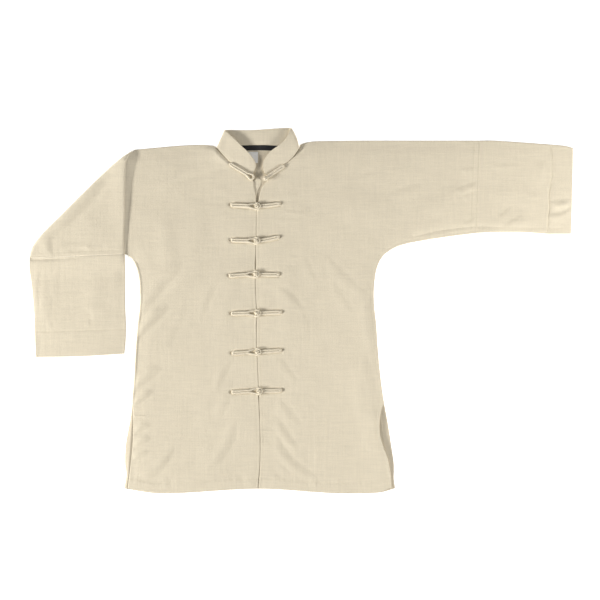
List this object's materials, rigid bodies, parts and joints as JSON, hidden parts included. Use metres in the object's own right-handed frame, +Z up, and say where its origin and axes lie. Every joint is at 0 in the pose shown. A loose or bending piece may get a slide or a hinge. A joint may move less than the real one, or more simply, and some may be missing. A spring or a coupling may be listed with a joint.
{
  "type": "kung fu jacket",
  "caption": "Stand-collar jacket in natural linen with knotted cord fastenings, laid flat with one sleeve folded down.",
  "frame": {"origin": "underside of the back, where the centre line crosses the line between the underarms", "axes": "+X to the wearer's left along the sleeve, +Y to the collar, +Z up from the surface it lies on"},
  "size_m": [1.3032, 0.8773, 0.0178],
  "materials": {
    "linen": "slubby plain weave",
    "linen_inside": "plain weave",
    "linen_cord": "bias-cut cord",
    "tape": "woven tape",
    "label": "satin ribbon"
  },
  "bodies": {
    "root": {"front_left": "linen", "front_right": "linen", "sleeve_left_lower": "linen", "sleeve_right_lower": "linen", "sleeve_right_turned": "linen", "underlap": "linen", "collar": "linen", "back": "linen_inside", "sleeve_right_layers": "linen_inside", "frog_1_loop": "linen_cord", "frog_1_knot": "linen_cord", "frog_2_loop": "linen_cord", "frog_2_knot": "linen_cord", "frog_3_loop": "linen_cord", "frog_3_knot": "linen_cord", "frog_4_loop": "linen_cord", "frog_4_knot": "linen_cord", "frog_5_loop": "linen_cord", "frog_5_knot": "linen_cord", "frog_6_loop": "linen_cord", "frog_6_knot": "linen_cord", "frog_7_loop": "linen_cord", "frog_7_knot": "linen_cord", "neck_tape": "tape", "care_label": "label"}
  },
  "joints": []
}
